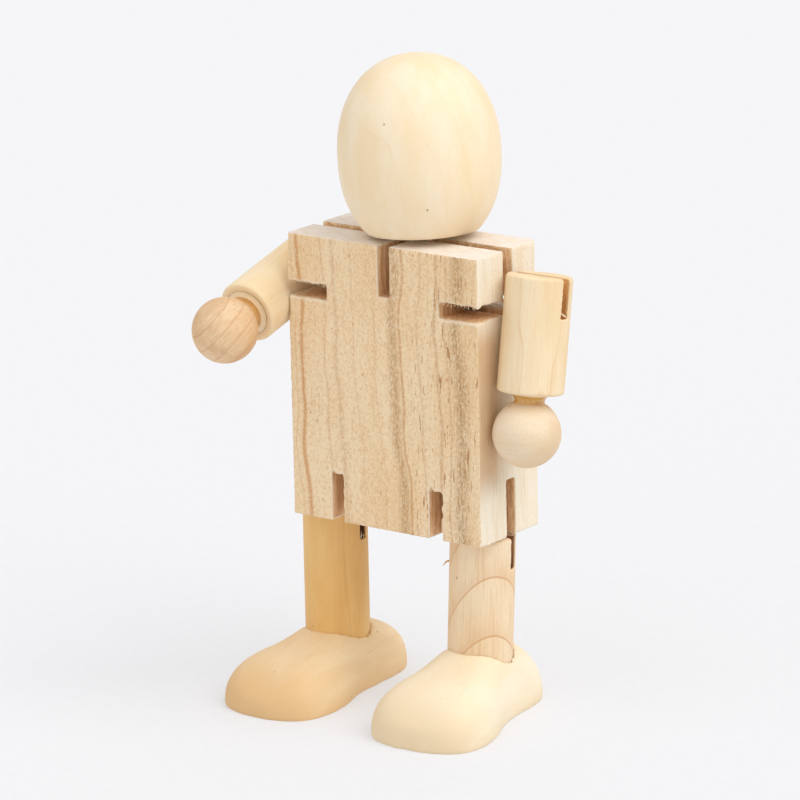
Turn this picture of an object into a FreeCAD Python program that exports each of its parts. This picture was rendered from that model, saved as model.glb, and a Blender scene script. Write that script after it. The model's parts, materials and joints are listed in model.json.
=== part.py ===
import FreeCAD, Part
import math
import os

V = FreeCAD.Vector

# ---------------------------------------------------------------------------
# Driving dimensions, in millimetres and degrees.
# Figure frame: X to the figure's left side, Y to its back, Z up, floor at Z = 0,
# torso centred on X = Y = 0. The finished parts are then moved so that the origin
# is the middle of the bottom of the whole figure's box.
# "left" and "right" are the figure's own sides.
# ---------------------------------------------------------------------------

# torso: one sawn pine block
TORSO_WIDTH = 70.0
TORSO_DEPTH = 31.0
TORSO_HEIGHT = 88.0
TORSO_BOTTOM_Z = 57.2
TORSO_TOP_Z = TORSO_BOTTOM_Z + TORSO_HEIGHT
FRONT_EDGE_RADIUS = 0.6
BACK_EDGE_RADIUS = 1.8

# saw kerfs in the torso
KERF = 4.5
SPLIT_Y = 0.2                      # middle of the two side-to-side kerfs
TOP_SPLIT_DEPTH = 21.1
BOTTOM_SPLIT_DEPTH = 17.8
NECK_KERF_X = 0.7                  # front-to-back kerf in the top
NECK_KERF_DEPTH = 15.7
HIP_KERF_X = 18.1                  # two front-to-back kerfs in the bottom
HIP_KERF_DEPTH = 14.9
SHOULDER_Z = TORSO_TOP_Z - 17.1    # two flat kerfs in the sides
SHOULDER_KERF_DEPTH = 14.4

# drilled holes in the torso
HIP_BORE_RADIUS = 2.5
NECK_HOLE_RADIUS = 5.5
NECK_HOLE_DEPTH = 26.0
NECK_HOLE_X = 1.5
NECK_HOLE_Y = 1.0

# elastic cord
CORD_RADIUS = 1.1
CORD_GAP = 0.05                    # between the lengths of one cord that bend at a joint
SPLIT_ROOT_CLEARANCE = 0.05        # between the hip cord and the wood under it
HIP_CORD_Z = TORSO_TOP_Z - TOP_SPLIT_DEPTH + CORD_RADIUS + SPLIT_ROOT_CLEARANCE
HIP_CORD_TOP_BEND = 2.4
HIP_CORD_LOW_BEND = 4.0
HIP_CORD_KNEE = 1.6                # below the root of the bottom kerf
NECK_LOOP_HALF_WIDTH = 2.45
NECK_LOOP_BEND = 2.16
NECK_LEAN_X = 1.7                  # how far the loop leans over the height below
NECK_LEAN_Y = 1.4
NECK_LEAN_HEIGHT = 20.0
NECK_LOWER_Z = TORSO_TOP_Z - 5.0   # where the loop is divided for the head's two tilts
NECK_MIDDLE_Z = TORSO_TOP_Z - 2.8
NECK_UPPER_Z = TORSO_TOP_Z - 0.6

# limb ends: a blade-cut kerf with a pin across it
LIMB_GAP = 0.3                     # between a limb and the torso
BLADE_RADIUS = 26.0
BLADE_WIDTH = 3.3
BLADE_BELOW_PIN = 3.3              # how far the cut goes past the pin on the limb's axis
PIN_RADIUS = 1.0
PIN_FRONT = 7.0                    # the pin is driven in from the back
PIN_BACK = 9.3
END_ROUNDING = 1.0
EYE_RADIUS = PIN_RADIUS + CORD_GAP + CORD_RADIUS
HEAD_CORD_BEND = EYE_RADIUS - 0.02 # a hair under the eye, so that its two bends don't meet

# arms
ARM_RADIUS = {"left": 10.0, "right": 9.8}
ARM_PIN_DEPTH = 10.6               # below the arm's end
ARM_DROP = {"left": 0.0, "right": 0.8}        # the cord lies lower in the right side's kerf
ARM_BELOW_PIN = 24.4
ARM_END_CHAMFER = 0.6
COUNTERSINK_RADIUS = 8.0
COUNTERSINK_DEPTH = 1.0
BALL_BELOW_PIN = {"left": 36.6, "right": 35.5}
BALL_RADIUS = {"left": 10.25, "right": 10.05}
HAND_NECK_RADIUS = 5.0
HAND_NECK_OVERLAP = 2.0            # from the ball's top down into its hollow
TENON_RADIUS = 3.0
TENON_INTO_ARM = 9.0
TENON_INTO_BALL = 8.0
ARM_SWING = {"left": 9.5, "right": 74.0}      # forward from hanging

# legs
LEG_RADIUS = 10.0
LEG_PIN_DEPTH = 8.6                # below the leg's end
LEG_X = {"left": 24.5, "right": -31.3}        # where each leg meets the torso
LEG_LEAN = {"left": 2.6, "right": 0.0}        # foot end towards the figure's right
LEG_KERF_TURN = {"left": 15.0, "right": 7.0}  # kerf turned about the leg, from above
LEG_TOP_Z = {"left": TORSO_BOTTOM_Z - 0.65, "right": TORSO_BOTTOM_Z - LIMB_GAP}
LEG_LENGTH = 45.0

# feet
SOCKET_RADIUS = 10.3
ANKLE_Z = 20.0                                # where the foot is centred on its leg
FOOT_TURN = {"left": 4.0, "right": 0.0}       # toe out, from above
SECTION_POWER = 2.9                           # roundness of the foot's cross sections
SECTION_POINTS = 9
SOLE_TRIM = 1.0                               # planed off the sole
# along each hand-carved foot from toe to heel: place, half width, height
FOOT_SECTIONS = {
    "left": (
        (-42.4, 5.0, 3.7),
        (-40.4, 11.7, 8.3),
        (-35.8, 16.9, 12.6),
        (-25.3, 18.5, 16.6),
        (-16.5, 16.5, 18.3),
        (-9.7, 14.2, 21.0),
        (0.0, 12.7, 22.2),
        (9.3, 12.5, 20.4),
        (16.7, 11.4, 15.2),
        (21.6, 8.1, 8.6),
        (23.3, 3.6, 3.3),
    ),
    "right": (
        (-43.2, 4.7, 3.4),
        (-41.2, 10.8, 7.4),
        (-36.5, 16.1, 11.7),
        (-25.8, 18.1, 15.4),
        (-16.8, 16.8, 16.3),
        (-9.9, 14.6, 18.2),
        (0.0, 13.6, 19.4),
        (10.4, 13.1, 17.8),
        (18.7, 11.7, 14.3),
        (24.2, 7.8, 9.2),
        (26.3, 2.9, 3.8),
    ),
}

# head: a turned egg cut flat below
HEAD_RADIUS = 24.5
HEAD_HEIGHT = 53.6
HEAD_WIDEST_Z = 23.5
HEAD_LOWER_AXIS = 30.1
HEAD_LOWER_POWER = 2.24
HEAD_UPPER_POWER = 2.18
HEAD_X = 3.0
HEAD_Y = 2.2
HEAD_GAP = 0.4
HEAD_LEAN_SIDE = 3.3               # top towards the figure's right
HEAD_LEAN_BACK = 1.7
HEAD_BORE_RADIUS = 4.6
HEAD_BORE_DEPTH = 21.0
HEAD_PIN_Z = 12.0
HEAD_PIN_HALF_LENGTH = 9.0
HEAD_CORD_START_Z = 0.3            # the neck loop's upper end starts just inside the bore

SIDES = {"left": 1.0, "right": -1.0}


# ---------------------------------------------------------------------------
# Helpers
# ---------------------------------------------------------------------------

def box(low, high):
    """A block between two opposite corners."""
    low, high = V(*low), V(*high)
    size = high - low
    return Part.makeBox(size.x, size.y, size.z, low)


def rod(radius, start, end):
    """A round rod from one point to another."""
    start, end = V(*start), V(*end)
    run = end - start
    return Part.makeCylinder(radius, run.Length, start, run)


def turned(shape, point, axis, angle):
    """A copy of the shape, turned about an axis through a point."""
    copy = shape.copy()
    copy.rotate(V(*point), V(*axis), angle)
    return copy


def moved(shape, x, y, z):
    """A copy of the shape, moved."""
    copy = shape.copy()
    copy.translate(V(x, y, z))
    return copy


def short_of(end, start, gap):
    """The point a little before the end of a run."""
    end, start = V(*end), V(*start)
    return tuple(end + (start - end).normalize() * gap)


def tube(points, bends, radius):
    """A round cord along straight runs joined by tangent arcs, one bend per inner point."""
    points = [V(*p) for p in points]
    edges = []
    here = points[0]
    for corner, after, bend in zip(points[1:-1], points[2:], bends):
        into = (corner - here).normalize()
        out = (after - corner).normalize()
        half_turn = into.getAngle(out) / 2
        reach = bend * math.tan(half_turn)
        start = corner - into * reach
        end = corner + out * reach
        inward = (out - into).normalize()
        middle = corner + inward * bend * (1 / math.cos(half_turn) - 1)
        edges.append(Part.LineSegment(here, start).toShape())
        edges.append(Part.Arc(start, middle, end).toShape())
        here = end
    edges.append(Part.LineSegment(here, points[-1]).toShape())
    path = Part.Wire(edges)
    first_run = points[1] - points[0]
    outline = Part.Wire(Part.makeCircle(radius, points[0], first_run))
    return path.makePipeShell([outline], True, True)


# ---------------------------------------------------------------------------
# Torso and the cords in it
# ---------------------------------------------------------------------------

def torso_block():
    """The block, its seven saw kerfs, the neck hole and the two hip bores."""
    half_w, half_d = TORSO_WIDTH / 2, TORSO_DEPTH / 2
    block = box((-half_w, -half_d, TORSO_BOTTOM_Z), (half_w, half_d, TORSO_TOP_Z))
    upright = [e for e in block.Edges if abs(e.tangentAt(0).z) > 0.9]
    front = [e for e in upright if e.Vertexes[0].Y < 0]
    back = [e for e in upright if e.Vertexes[0].Y > 0]
    block = block.makeFillet(FRONT_EDGE_RADIUS, front).makeFillet(BACK_EDGE_RADIUS, back)
    out_x, out_y, half = half_w + 1, half_d + 1, KERF / 2
    split_front, split_back = SPLIT_Y - half, SPLIT_Y + half
    top, bottom = TORSO_TOP_Z + 1, TORSO_BOTTOM_Z - 1
    cuts = [
        box((-out_x, split_front, TORSO_TOP_Z - TOP_SPLIT_DEPTH), (out_x, split_back, top)),
        box((-out_x, split_front, bottom), (out_x, split_back, TORSO_BOTTOM_Z + BOTTOM_SPLIT_DEPTH)),
        box((NECK_KERF_X - half, -out_y, TORSO_TOP_Z - NECK_KERF_DEPTH), (NECK_KERF_X + half, out_y, top)),
        rod(NECK_HOLE_RADIUS, (NECK_HOLE_X, NECK_HOLE_Y, TORSO_TOP_Z - NECK_HOLE_DEPTH),
            (NECK_HOLE_X, NECK_HOLE_Y, top)),
    ]
    for side in SIDES.values():
        hip_x = side * HIP_KERF_X
        inner_x = side * (half_w - SHOULDER_KERF_DEPTH)
        outer_x = side * out_x
        cuts.append(box((hip_x - half, -out_y, bottom), (hip_x + half, out_y, TORSO_BOTTOM_Z + HIP_KERF_DEPTH)))
        cuts.append(box((min(inner_x, outer_x), -out_y, SHOULDER_Z - half),
                        (max(inner_x, outer_x), out_y, SHOULDER_Z + half)))
        cuts.append(rod(HIP_BORE_RADIUS, (hip_x, SPLIT_Y, TORSO_BOTTOM_Z), (hip_x, SPLIT_Y, top)))
    return block.cut(cuts)


def shoulder_elastic():
    """The cord that lies in the top kerf and pulls both arms in."""
    reach = TORSO_WIDTH / 2 + LIMB_GAP - CORD_RADIUS - CORD_GAP
    right_end = (-reach, SPLIT_Y, SHOULDER_Z - ARM_DROP["right"])
    left_end = (reach, SPLIT_Y, SHOULDER_Z - ARM_DROP["left"])
    return rod(CORD_RADIUS, right_end, left_end)


def hip_elastic():
    """The cord from leg to leg: up one bore, across the root of the top kerf, down the other."""
    knee_z = TORSO_BOTTOM_Z + BOTTOM_SPLIT_DEPTH - HIP_CORD_KNEE
    end_gap = CORD_RADIUS + CORD_GAP
    right_knee = (-HIP_KERF_X, SPLIT_Y, knee_z)
    left_knee = (HIP_KERF_X, SPLIT_Y, knee_z)
    points = [
        short_of((LEG_X["right"], SPLIT_Y, LEG_TOP_Z["right"]), right_knee, end_gap),
        right_knee,
        (-HIP_KERF_X, SPLIT_Y, HIP_CORD_Z),
        (HIP_KERF_X, SPLIT_Y, HIP_CORD_Z),
        left_knee,
        short_of((LEG_X["left"], SPLIT_Y, LEG_TOP_Z["left"]), left_knee, end_gap),
    ]
    bends = [HIP_CORD_LOW_BEND, HIP_CORD_TOP_BEND, HIP_CORD_TOP_BEND, HIP_CORD_LOW_BEND]
    return tube(points, bends, CORD_RADIUS)


def neck_strands(low_z, high_z):
    """The two strands of the neck loop between two heights."""
    strands = []
    for side in SIDES.values():
        y = SPLIT_Y + side * NECK_LOOP_HALF_WIDTH
        ends = []
        for z in (low_z, high_z):
            share = (z - HIP_CORD_Z) / NECK_LEAN_HEIGHT
            ends.append((NECK_KERF_X + share * NECK_LEAN_X, y + share * NECK_LEAN_Y, z))
        strands.append(rod(CORD_RADIUS, *ends))
    return Part.makeCompound(strands)


def neck_elastic():
    """The neck loop's lower end, hooked under the shoulder and hip cords."""
    share = (NECK_LOWER_Z - CORD_GAP - HIP_CORD_Z) / NECK_LEAN_HEIGHT
    top_x = NECK_KERF_X + share * NECK_LEAN_X
    lean_y = share * NECK_LEAN_Y
    low_z = HIP_CORD_Z - NECK_LOOP_HALF_WIDTH
    front_y = SPLIT_Y - NECK_LOOP_HALF_WIDTH
    back_y = SPLIT_Y + NECK_LOOP_HALF_WIDTH
    points = [
        (top_x, front_y + lean_y, NECK_LOWER_Z - CORD_GAP),
        (NECK_KERF_X, front_y, low_z),
        (NECK_KERF_X, back_y, low_z),
        (top_x, back_y + lean_y, NECK_LOWER_Z - CORD_GAP),
    ]
    return tube(points, [NECK_LOOP_BEND, NECK_LOOP_BEND], CORD_RADIUS)


# ---------------------------------------------------------------------------
# Head, built about its own axis with its flat base on Z = 0
# ---------------------------------------------------------------------------

def head_radius(z):
    """Radius of the egg at a height above its base."""
    if z < HEAD_WIDEST_Z:
        share = (HEAD_WIDEST_Z - z) / HEAD_LOWER_AXIS
        power = HEAD_LOWER_POWER
    else:
        share = (z - HEAD_WIDEST_Z) / (HEAD_HEIGHT - HEAD_WIDEST_Z)
        power = HEAD_UPPER_POWER
    return HEAD_RADIUS * (1 - share ** power) ** (1 / power)


def head_profile():
    """Points up the egg's side, closer together near the crown."""
    lower = [HEAD_WIDEST_Z * step / 5 for step in range(5)]
    rise = HEAD_HEIGHT - HEAD_WIDEST_Z
    upper = [HEAD_WIDEST_Z + rise * math.sin(math.radians(angle)) for angle in range(0, 90, 9)]
    points = [V(head_radius(z), 0, z) for z in lower + upper]
    return points + [V(0, 0, HEAD_HEIGHT)]


def head():
    """The egg with its bore and the hole for its pin."""
    points = head_profile()
    side = Part.BSplineCurve()
    side.interpolate(points)
    base = Part.LineSegment(V(0, 0, 0), points[0]).toShape()
    axis = Part.LineSegment(points[-1], V(0, 0, 0)).toShape()
    face = Part.Face(Part.Wire([base, side.toShape(), axis]))
    egg = face.revolve(V(0, 0, 0), V(0, 0, 1), 360)
    bore = rod(HEAD_BORE_RADIUS, (0, 0, -1), (0, 0, HEAD_BORE_DEPTH))
    return egg.cut([bore, head_pin()])


def head_pin():
    """The pin across the head's bore that the neck loop hangs on."""
    return rod(PIN_RADIUS, (-HEAD_PIN_HALF_LENGTH, 0, HEAD_PIN_Z), (HEAD_PIN_HALF_LENGTH, 0, HEAD_PIN_Z))


def head_elastic():
    """The neck loop's upper end, over the head pin."""
    top_z = HEAD_PIN_Z + EYE_RADIUS
    points = [
        (0, -EYE_RADIUS, HEAD_CORD_START_Z),
        (0, -EYE_RADIUS, top_z),
        (0, EYE_RADIUS, top_z),
        (0, EYE_RADIUS, HEAD_CORD_START_Z),
    ]
    return tube(points, [HEAD_CORD_BEND, HEAD_CORD_BEND], CORD_RADIUS)


def on_neck(shape):
    """Set a head piece on the torso, leaning back and to the figure's right."""
    shape = turned(shape, (0, 0, 0), (1, 0, 0), -HEAD_LEAN_BACK)
    shape = turned(shape, (0, 0, 0), (0, 1, 0), -HEAD_LEAN_SIDE)
    slope = math.hypot(math.tan(math.radians(HEAD_LEAN_SIDE)), math.tan(math.radians(HEAD_LEAN_BACK)))
    lift = head_radius(0) * math.sin(math.atan(slope))
    return moved(shape, HEAD_X, HEAD_Y, TORSO_TOP_Z + HEAD_GAP + lift)


# ---------------------------------------------------------------------------
# Limb ends, shared by arms and legs. The limb's axis is Z and its end is Z = 0.
# ---------------------------------------------------------------------------

def limb(length, radius, pin_depth):
    """A length of dowel with a rounded end, a blade-cut kerf and a hole for its pin."""
    dowel = rod(radius, (0, 0, -length), (0, 0, 0))
    end_edge = [e for e in dowel.Edges if e.BoundBox.ZMin > -0.01]
    dowel = dowel.makeFillet(END_ROUNDING, end_edge)
    blade_z = BLADE_RADIUS - pin_depth - BLADE_BELOW_PIN
    half = BLADE_WIDTH / 2
    blade = rod(BLADE_RADIUS, (0, -half, blade_z), (0, half, blade_z))
    hole = rod(PIN_RADIUS, (0, -PIN_FRONT, -pin_depth), (0, radius + 1, -pin_depth))
    return dowel.cut([blade, hole])


def limb_pin(pin_depth):
    """The steel pin across the kerf."""
    return rod(PIN_RADIUS, (0, -PIN_FRONT, -pin_depth), (0, PIN_BACK, -pin_depth))


def elastic_eye(pin_depth):
    """The cord's eye round the pin."""
    return Part.makeTorus(EYE_RADIUS, CORD_RADIUS, V(0, 0, -pin_depth), V(0, 1, 0))


def elastic_bend(point):
    """The short round length of cord that bends where the limb meets the torso."""
    return Part.makeSphere(CORD_RADIUS, V(*point))


# ---------------------------------------------------------------------------
# Arms, hanging straight down with the pin at shoulder height
# ---------------------------------------------------------------------------

def arm(name):
    """The arm's dowel, with a chamfer and a countersink at the hand end."""
    length = ARM_PIN_DEPTH + ARM_BELOW_PIN
    dowel = limb(length, ARM_RADIUS[name], ARM_PIN_DEPTH)
    low_edge = [e for e in dowel.Edges if e.BoundBox.ZMax < -length + 0.01]
    dowel = dowel.makeChamfer(ARM_END_CHAMFER, low_edge)
    sink = Part.makeCone(COUNTERSINK_RADIUS, HAND_NECK_RADIUS, COUNTERSINK_DEPTH, V(0, 0, -length), V(0, 0, 1))
    tenon_hole = rod(TENON_RADIUS, (0, 0, -length - 1), (0, 0, -length + TENON_INTO_ARM))
    return dowel.cut([sink, tenon_hole])


def hand_top(name):
    """Height of the top of the hand's ball, below the arm's end."""
    return BALL_RADIUS[name] - ARM_PIN_DEPTH - BALL_BELOW_PIN[name]


def hand_sphere(name):
    """The round outside of the hand."""
    return Part.makeSphere(BALL_RADIUS[name], V(0, 0, hand_top(name) - BALL_RADIUS[name]))


def hand_ball(name):
    """The round hand with the hole for its peg."""
    top_z = hand_top(name)
    return hand_sphere(name).cut(rod(TENON_RADIUS, (0, 0, top_z - TENON_INTO_BALL), (0, 0, top_z + 1)))


def hand_peg(name):
    """The glued peg between arm and hand, with the thick neck that shows."""
    arm_end_z = -ARM_PIN_DEPTH - ARM_BELOW_PIN
    top_z = hand_top(name)
    tenon = rod(TENON_RADIUS, (0, 0, top_z - TENON_INTO_BALL), (0, 0, arm_end_z + TENON_INTO_ARM))
    neck = rod(HAND_NECK_RADIUS, (0, 0, top_z - HAND_NECK_OVERLAP), (0, 0, arm_end_z + COUNTERSINK_DEPTH))
    return neck.cut(hand_sphere(name)).fuse(tenon).removeSplitter()


def at_shoulder(shape, name):
    """Set an arm piece at the figure's side, swung forward about the shoulder cord."""
    side = SIDES[name]
    shape = moved(shape, 0, 0, ARM_PIN_DEPTH)
    if side < 0:
        shape = shape.mirror(V(0, 0, 0), V(1, 0, 0))
    x = side * (TORSO_WIDTH / 2 + LIMB_GAP + ARM_RADIUS[name])
    shape = turned(shape, (0, 0, 0), (1, 0, 0), -ARM_SWING[name])
    return moved(shape, x, SPLIT_Y, SHOULDER_Z - ARM_DROP[name])


def arm_cord(name):
    """The straight length of cord inside the arm's kerf, and the bend beside the torso."""
    side = SIDES[name]
    cord_z = SHOULDER_Z - ARM_DROP[name]
    plane_x = TORSO_WIDTH / 2 + LIMB_GAP
    start = plane_x + CORD_RADIUS + CORD_GAP
    end = plane_x + ARM_RADIUS[name] - EYE_RADIUS - CORD_RADIUS - CORD_GAP
    straight = rod(CORD_RADIUS, (side * start, SPLIT_Y, cord_z), (side * end, SPLIT_Y, cord_z))
    return straight, elastic_bend((side * plane_x, SPLIT_Y, cord_z))


def make_arm(name):
    """All the pieces of one arm."""
    straight, bend = arm_cord(name)
    return {
        name + "_arm": at_shoulder(arm(name), name),
        name + "_arm_pin": at_shoulder(limb_pin(ARM_PIN_DEPTH), name),
        name + "_arm_elastic_eye": at_shoulder(elastic_eye(ARM_PIN_DEPTH), name),
        name + "_arm_elastic": straight,
        name + "_arm_elastic_bend": bend,
        name + "_hand_peg": at_shoulder(hand_peg(name), name),
        name + "_hand_ball": at_shoulder(hand_ball(name), name),
    }


# ---------------------------------------------------------------------------
# Legs and feet
# ---------------------------------------------------------------------------

def at_hip(shape, name):
    """Set a leg piece under the torso: turned about the leg, then leaned."""
    shape = turned(shape, (0, 0, 0), (0, 0, 1), LEG_KERF_TURN[name])
    shape = turned(shape, (0, 0, 0), (0, 1, 0), LEG_LEAN[name])
    return moved(shape, LEG_X[name], SPLIT_Y, LEG_TOP_Z[name])


def leg_cord():
    """The straight length of cord in the leg's kerf."""
    start = -CORD_RADIUS - CORD_GAP
    end = -LEG_PIN_DEPTH + EYE_RADIUS + CORD_RADIUS + CORD_GAP
    return rod(CORD_RADIUS, (0, 0, start), (0, 0, end))


def foot_section(place, half_width, height):
    """One upright cross section of the foot: rounded top, and some wood to plane off below."""
    points = [V(half_width, place, -SOLE_TRIM)]
    for step in range(SECTION_POINTS):
        angle = math.pi * step / (SECTION_POINTS - 1)
        across = math.copysign(abs(math.cos(angle)) ** (2 / SECTION_POWER), math.cos(angle))
        up = math.sin(angle) ** (2 / SECTION_POWER) if 0 < step < SECTION_POINTS - 1 else 0
        points.append(V(half_width * across, place, height * up))
    points.append(V(-half_width, place, -SOLE_TRIM))
    top = Part.BSplineCurve()
    top.interpolate(points)
    sole = Part.LineSegment(points[-1], points[0]).toShape()
    return Part.Wire([top.toShape(), sole])


def foot(name):
    """The shoe-shaped foot with the blind socket that its leg is glued into."""
    shoe = Part.makeLoft([foot_section(*station) for station in FOOT_SECTIONS[name]], True, False)
    reach = TORSO_WIDTH
    shoe = shoe.cut(box((-reach, -reach, -2 * SOLE_TRIM), (reach, reach, 0)))
    shoe = turned(shoe, (0, 0, 0), (0, 0, 1), FOOT_TURN[name])
    lean = math.tan(math.radians(LEG_LEAN[name]))
    shoe = moved(shoe, LEG_X[name] - lean * (LEG_TOP_Z[name] - ANKLE_Z), SPLIT_Y, 0)
    socket = at_hip(rod(SOCKET_RADIUS, (0, 0, -LEG_LENGTH), (0, 0, -LEG_LENGTH / 2)), name)
    return shoe.cut(socket)


def make_leg(name):
    """All the pieces of one leg."""
    return {
        name + "_leg": at_hip(limb(LEG_LENGTH, LEG_RADIUS, LEG_PIN_DEPTH), name),
        name + "_leg_pin": at_hip(limb_pin(LEG_PIN_DEPTH), name),
        name + "_leg_elastic_eye": at_hip(elastic_eye(LEG_PIN_DEPTH), name),
        name + "_leg_elastic": at_hip(leg_cord(), name),
        name + "_leg_elastic_bend": at_hip(elastic_bend((0, 0, 0)), name),
        name + "_foot": foot(name),
    }


# ---------------------------------------------------------------------------
# The whole figure
# ---------------------------------------------------------------------------

def figure():
    """Every piece by name, in the figure frame."""
    pieces = {
        "torso_block": torso_block(),
        "shoulder_elastic": shoulder_elastic(),
        "hip_elastic": hip_elastic(),
        "neck_elastic": neck_elastic(),
        "neck_elastic_lower": neck_strands(NECK_LOWER_Z, NECK_MIDDLE_Z - CORD_GAP),
        "neck_elastic_upper": neck_strands(NECK_MIDDLE_Z, NECK_UPPER_Z),
        "head": on_neck(head()),
        "head_pin": on_neck(head_pin()),
        "head_elastic": on_neck(head_elastic()),
    }
    for name in SIDES:
        pieces.update(make_arm(name))
        pieces.update(make_leg(name))
    return pieces


def main():
    """Centre the figure over the origin and write one file per piece."""
    os.makedirs("parts", exist_ok=True)
    pieces = figure()
    whole = Part.makeCompound(list(pieces.values())).optimalBoundingBox(False, False)
    shift_x = -round((whole.XMin + whole.XMax) / 2, 3)
    shift_y = -round((whole.YMin + whole.YMax) / 2, 3)
    print("origin shift", shift_x, shift_y)
    print("size", whole.XLength, whole.YLength, whole.ZLength, "lowest", whole.ZMin)
    for name, shape in pieces.items():
        placed = moved(shape, shift_x, shift_y, 0)
        print(name, "valid", placed.isValid(), "solids", len(placed.Solids), "volume", round(placed.Volume, 1))
        placed.exportStep("parts/" + name + ".step")


main()
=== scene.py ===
"""Looks of the elastic-strung wooden figure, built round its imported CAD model."""
import json
import math
import random

import bmesh
import bpy
import numpy as np
from mathutils import Matrix, Vector


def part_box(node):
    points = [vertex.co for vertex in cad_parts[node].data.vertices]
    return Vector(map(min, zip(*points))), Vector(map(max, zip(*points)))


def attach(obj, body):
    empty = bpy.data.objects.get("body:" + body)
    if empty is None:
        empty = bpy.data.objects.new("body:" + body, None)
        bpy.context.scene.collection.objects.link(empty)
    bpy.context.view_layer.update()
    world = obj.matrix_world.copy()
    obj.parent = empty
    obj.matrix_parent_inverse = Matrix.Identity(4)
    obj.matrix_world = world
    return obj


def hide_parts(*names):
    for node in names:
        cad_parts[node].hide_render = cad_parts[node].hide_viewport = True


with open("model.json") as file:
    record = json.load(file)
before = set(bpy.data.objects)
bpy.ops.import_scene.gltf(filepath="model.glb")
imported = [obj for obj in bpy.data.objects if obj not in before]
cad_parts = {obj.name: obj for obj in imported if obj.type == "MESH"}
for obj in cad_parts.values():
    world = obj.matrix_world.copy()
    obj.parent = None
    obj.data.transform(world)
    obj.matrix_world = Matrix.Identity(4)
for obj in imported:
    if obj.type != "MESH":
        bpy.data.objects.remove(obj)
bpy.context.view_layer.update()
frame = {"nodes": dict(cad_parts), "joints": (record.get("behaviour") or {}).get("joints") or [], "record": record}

MM = 0.001
JOINTS = {joint["name"]: joint for joint in frame["joints"]}
SIDES = ("left", "right")

# camera, with its place in millimetres and its angles in degrees
LENS = 206.7
SENSOR_WIDTH = 36.0
CLIP_START = 0.05
CAMERA_FROM_BLOCK = (792.4, -1078.5, 398.4)
CAMERA_YAW = 36.49
CAMERA_PITCH = 15.1
CAMERA_ROLL = -1.226

# light and floor: each sun is (name, azimuth, height, strength, softness), with its angles in degrees
SUNS = (("key", 2, 50, 1.5, 50), ("fill", -105, 35, 0.3, 70))
SKY_COLOUR = (1.0, 1.0, 1.02, 1.0)
SKY_LOW = 0.5
SKY_HIGH = 0.85
SKY_HIGH_FROM = 0.9
FLOOR_HALF = 6.0
FLOOR_PALE = (0.46, 0.46, 0.47, 1.0)
FLOOR_DIM = (0.45, 0.45, 0.46, 1.0)
FLOOR_GLOW = 0.38
FLOOR_GLOW_COLOUR = (1.0, 1.0, 1.01, 1.0)

# sizes that the shapes below share with the CAD model, in millimetres
TORSO = Vector((70.0, 31.0, 88.0))
KERF_HALF = 2.25
SHOULDER_KERF_Z = 70.9
SHOULDER_KERF_INNER_X = 20.6
HIP_KERF_X = 18.1
HIP_KERF_TOP = 14.9
ARM_PIN_DEPTH = 10.6
ARM_LENGTH = 35.0
LIMB_KERF_HALF = 1.65

# sizes of the looks alone, in millimetres
VOXEL = {"torso": 0.33, "head": 0.7, "limb": 0.3, "ball": 0.4, "cord": 0.2, "foot": 0.5}  # width of the faces
UNEVEN = {"head": 0.12, "limb": 0.12, "ball": 0.14, "foot": 0.25}  # height of the slow bumps on the skin
KERF_FLOOR = {"arm": 11.1, "leg": 9.6}  # about how deep each limb's kerf is
BASE_HEIGHT = 0.02  # the lowest point of the head and of the feet in their own frames
BALL_RADIUS = 10.15  # about the radius of a hand
PEG_TENON_RADIUS = 3.0
PEG_END_RADIUS = 4.8  # the peg's neck where it meets the ball
SOCKET_FIT = 10.03  # the foot's socket, drawn in round the leg
RIB_HEIGHT = 0.04

# how fast the braid's pattern goes round, in radians per millimetre
RIB_TURNS = 4.2

# how far the wood is torn out at the mouths of the side kerfs: (1 left or -1 right, 1 upper or -1 lower edge,
# millimetres)
SHOULDER_TEARS = ((1, 1, 1.7), (1, -1, 0.6), (-1, 1, 0.6), (-1, -1, 0.45))

# the ragged tops of the kerfs under the block: (1 left or -1 right, height of the notch, its place across)
HIP_TEARS = ((-1, 0.7, -1.5), (1, 1.6, -1.3))

# seeds of the bumps that differ from one side to the other
SEEDS = {"left_ball": 95, "right_ball": 96, "left_foot": 105, "right_foot": 106}


# ---------------------------------------------------------------------------
# Frames of the pieces
# ---------------------------------------------------------------------------

def axes_at(origin, x, y, z):
    """A frame from its origin and its three axes."""
    return Matrix.Translation(origin) @ Matrix((x, y, z)).transposed().to_4x4()


def arm_frame(side):
    """The arm's frame: origin in the middle of its torso end, Z up the arm, Y along its pin."""
    cord = Vector(JOINTS[side + "_shoulder_swing"]["pos_m"])
    low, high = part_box(side + "_arm")
    pin = Vector(((low.x + high.x) / 2, cord.y, cord.z))
    up = (pin - hand_centre(side)).normalized()
    across = Vector(JOINTS[side + "_shoulder_lift"]["axis"])
    across = across * math.copysign(1.0, across.y)
    return axes_at(pin + up * ARM_PIN_DEPTH * MM, across.cross(up), across, up)


def hand_centre(side):
    """The middle of the hand's ball."""
    low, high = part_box(side + "_hand_ball")
    radius = (high.x - low.x) / 2
    return Vector(((low.x + high.x) / 2, low.y + radius, low.z + radius))


def leg_frame(side):
    """The leg's frame: origin in the middle of its torso end, Z up the leg, Y along its pin."""
    turn = JOINTS[side + "_hip_turn"]
    up = Vector(turn["axis"])
    up = up * math.copysign(1.0, up.z)
    across = Vector(JOINTS[side + "_hip_lift"]["axis"])
    across = across * math.copysign(1.0, across.y)
    return axes_at(Vector(turn["pos_m"]), across.cross(up), across, up)


def head_frame():
    """The head's frame: origin in the middle of its flat base, Z up its axis."""
    turn = JOINTS["neck_turn"]
    up = Vector(turn["axis"]).normalized()
    x = Vector((1, 0, 0))
    x = (x - up * x.dot(up)).normalized()
    return axes_at(Vector(turn["pos_m"]), x, up.cross(x), up)


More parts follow.
